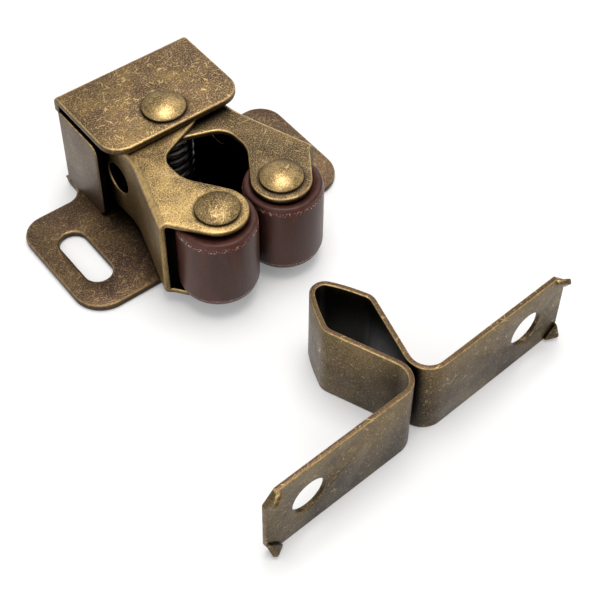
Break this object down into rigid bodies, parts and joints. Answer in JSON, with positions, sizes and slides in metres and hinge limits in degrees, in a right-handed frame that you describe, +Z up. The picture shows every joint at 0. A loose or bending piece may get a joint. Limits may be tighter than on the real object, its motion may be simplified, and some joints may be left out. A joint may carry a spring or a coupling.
{
  "type": "double roller door latch",
  "caption": "Sprung cupboard catch with a pair of swinging arms carrying rollers that grip the folded head of a strike strip on the door.",
  "frame": {"origin": "where the pivot rivet's axis meets the underside of the base plate", "axes": "+Z up out of the base plate along the pivot, +Y from the strike towards the catch's rear wall, +X to the right ear"},
  "size_m": [0.0549, 0.0739, 0.0196],
  "materials": {
    "bronzed_housing": "antique bronze plating, mottled and rubbed at the edges",
    "bronzed_arm": "antique bronze plating, speckled, rubbed at the edges",
    "bronzed_rivet": "antique bronze plating, worn brighter on the dome",
    "bronzed_strike": "dark antique bronze plating with bright edges",
    "spring_wire": "oiled dark spring steel",
    "roller_plastic": "dark reddish brown, soft sheen"
  },
  "bodies": {
    "housing": {"housing": "bronzed_housing", "pivot_rivet": "bronzed_rivet", "torsion_spring": "spring_wire"},
    "left_arm": {"left_arm": "bronzed_arm", "left_roller_rivet": "bronzed_rivet"},
    "right_arm": {"right_arm": "bronzed_arm", "right_roller_rivet": "bronzed_rivet"},
    "left_roller": {"left_roller": "roller_plastic"},
    "right_roller": {"right_roller": "roller_plastic"},
    "strike": {"strike": "bronzed_strike"}
  },
  "joints": [
    {"name": "left_arm_swing", "type": "hinge", "parent": "housing", "child": "left_arm", "pos_m": [0, 0, 0], "axis": [0, 0, -1], "range_deg": [0, 15], "stiffness_Nm_per_rad": 0.1, "springref_deg": -14.32, "deforming": ["torsion_spring"]},
    {"name": "right_arm_swing", "type": "hinge", "parent": "housing", "child": "right_arm", "pos_m": [0, 0, 0], "axis": [0, 0, 1], "range_deg": [0, 15], "stiffness_Nm_per_rad": 0.1, "springref_deg": -14.32, "deforming": ["torsion_spring"]},
    {"name": "left_roller_spin", "type": "hinge", "parent": "left_arm", "child": "left_roller", "pos_m": [-0.00536, -0.0206, 0.0094], "axis": [0, 0, 1], "continuous": true},
    {"name": "right_roller_spin", "type": "hinge", "parent": "right_arm", "child": "right_roller", "pos_m": [0.00664, -0.02022, 0.0087], "axis": [0, 0, 1], "continuous": true},
    {"name": "strike_travel", "type": "slide", "parent": "housing", "child": "strike", "axis": [0, 1, 0], "range_m": [0, 0.0116]}
  ]
}
